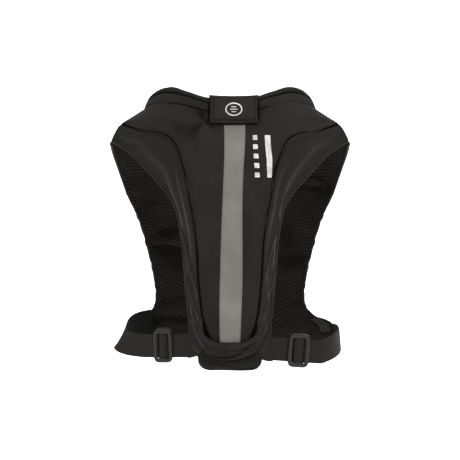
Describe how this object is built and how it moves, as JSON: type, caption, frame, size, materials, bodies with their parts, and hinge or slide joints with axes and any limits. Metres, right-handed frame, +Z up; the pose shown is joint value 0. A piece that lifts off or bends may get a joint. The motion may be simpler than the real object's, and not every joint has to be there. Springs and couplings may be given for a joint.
{
  "type": "inflatable harness vest",
  "caption": "Inflatable harness vest with a slim padded back pod, stand collar, lift-up neck tab, hinged front panels and adjustable side straps.",
  "frame": {"origin": "collar seam at the centre back of the neck, where the wearer's neck and shoulders hold the vest up", "axes": "+X towards the wearer's right, +Y forward out of the chest, +Z up"},
  "size_m": [0.4138, 0.2478, 0.4832],
  "materials": {
    "ripstop": "matt ripstop weave",
    "satin": "smooth stretch weave",
    "spacer_mesh": "open spacer mesh",
    "webbing": "woven strap",
    "hook_tape": "hook and loop",
    "reflective": "glass-bead reflective tape",
    "pouch": "matt stretch fabric",
    "print": "raised transfer print",
    "zip": "moulded zip",
    "moulded": "moulded nylon",
    "bladder": "coated bladder film",
    "metal": "satin metal",
    "signal": "signal red plastic"
  },
  "bodies": {
    "back": {"back_cover": "ripstop", "reflective_stripe": "reflective", "side_gusset_left": "satin", "side_gusset_right": "satin", "back_liner": "spacer_mesh", "spine_pad": "spacer_mesh", "tail_pouch": "pouch", "collar_lower_band": "ripstop", "collar_zip": "zip", "collar_upper_band": "satin", "collar_loop_tape": "hook_tape", "tab_root": "ripstop", "shoulder_bridge_left": "ripstop", "shoulder_bridge_right": "ripstop", "side_strap_left": "webbing", "side_strap_right": "webbing", "folded_bladder": "bladder", "inflator_body": "moulded", "relief_valve": "moulded"},
    "front_left": {"front_panel_left": "ripstop", "front_lining_left": "spacer_mesh", "zip_chain_left": "zip", "zip_tape_left": "zip", "strap_return_left": "webbing", "strap_anchor_left": "webbing"},
    "front_right": {"front_panel_right": "ripstop", "front_lining_right": "spacer_mesh", "zip_chain_right": "zip", "zip_tape_right": "zip", "strap_return_right": "webbing", "strap_anchor_right": "webbing"},
    "neck_tab": {"neck_tab": "ripstop", "tab_hook_tape": "hook_tape", "tab_badge": "print"},
    "tail_flap": {"tail_flap": "ripstop", "flap_hook_tape": "hook_tape"},
    "zip_slider": {"zip_slider": "metal"},
    "zip_pull": {"zip_pull": "metal"},
    "adjuster_left": {"strap_adjuster_left": "moulded"},
    "adjuster_right": {"strap_adjuster_right": "moulded"},
    "gas_cylinder": {"gas_cylinder": "metal"},
    "firing_pin": {"firing_pin": "metal"},
    "trigger_key": {"trigger_key": "signal"},
    "relief_poppet": {"relief_poppet": "metal"}
  },
  "joints": [
    {"name": "front_left_swing", "type": "hinge", "parent": "back", "child": "front_left", "pos_m": [-0.188, 0.07, -0.2], "axis": [0, 0, 1], "range_deg": [0, 50]},
    {"name": "front_right_swing", "type": "hinge", "parent": "back", "child": "front_right", "pos_m": [0.188, 0.07, -0.2], "axis": [0, 0, -1], "range_deg": [0, 50]},
    {"name": "neck_tab_lift", "type": "hinge", "parent": "back", "child": "neck_tab", "pos_m": [0, -0.0138, 0.02], "axis": [-1, 0, 0], "range_deg": [0, 150]},
    {"name": "tail_flap_lift", "type": "hinge", "parent": "back", "child": "tail_flap", "pos_m": [0, -0.0388, -0.393], "axis": [-1, 0, 0], "range_deg": [0, 100]},
    {"name": "zip_slide", "type": "slide", "parent": "front_right", "child": "zip_slider", "axis": [0, 0.0519, 0.9987], "range_m": [0, 0.125]},
    {"name": "zip_pull_turn", "type": "hinge", "parent": "zip_slider", "child": "zip_pull", "pos_m": [0.0044, 0.18985, -0.38826], "axis": [1, 0, 0], "range_deg": [0, 150]},
    {"name": "adjuster_left_slide", "type": "slide", "parent": "back", "child": "adjuster_left", "axis": [0.8853, -0.4632, 0.0412], "range_m": [-0.012, 0.025]},
    {"name": "adjuster_right_slide", "type": "slide", "parent": "back", "child": "adjuster_right", "axis": [-0.9824, -0.1672, 0.0836], "range_m": [-0.012, 0.025]},
    {"name": "cylinder_unscrew", "type": "hinge", "parent": "back", "child": "gas_cylinder", "pos_m": [0, -0.013, -0.33], "axis": [0, 0, 1], "continuous": true},
    {"name": "firing_pin_stroke", "type": "slide", "parent": "back", "child": "firing_pin", "axis": [0, 0, -1], "range_m": [0, 0.003], "stiffness_N_per_m": 400},
    {"name": "trigger_key_pull", "type": "slide", "parent": "back", "child": "trigger_key", "axis": [1, 0, 0], "range_m": [0, 0.02]},
    {"name": "relief_poppet_lift", "type": "slide", "parent": "back", "child": "relief_poppet", "axis": [0, 1, 0], "range_m": [0, 0.002], "stiffness_N_per_m": 400}
  ]
}
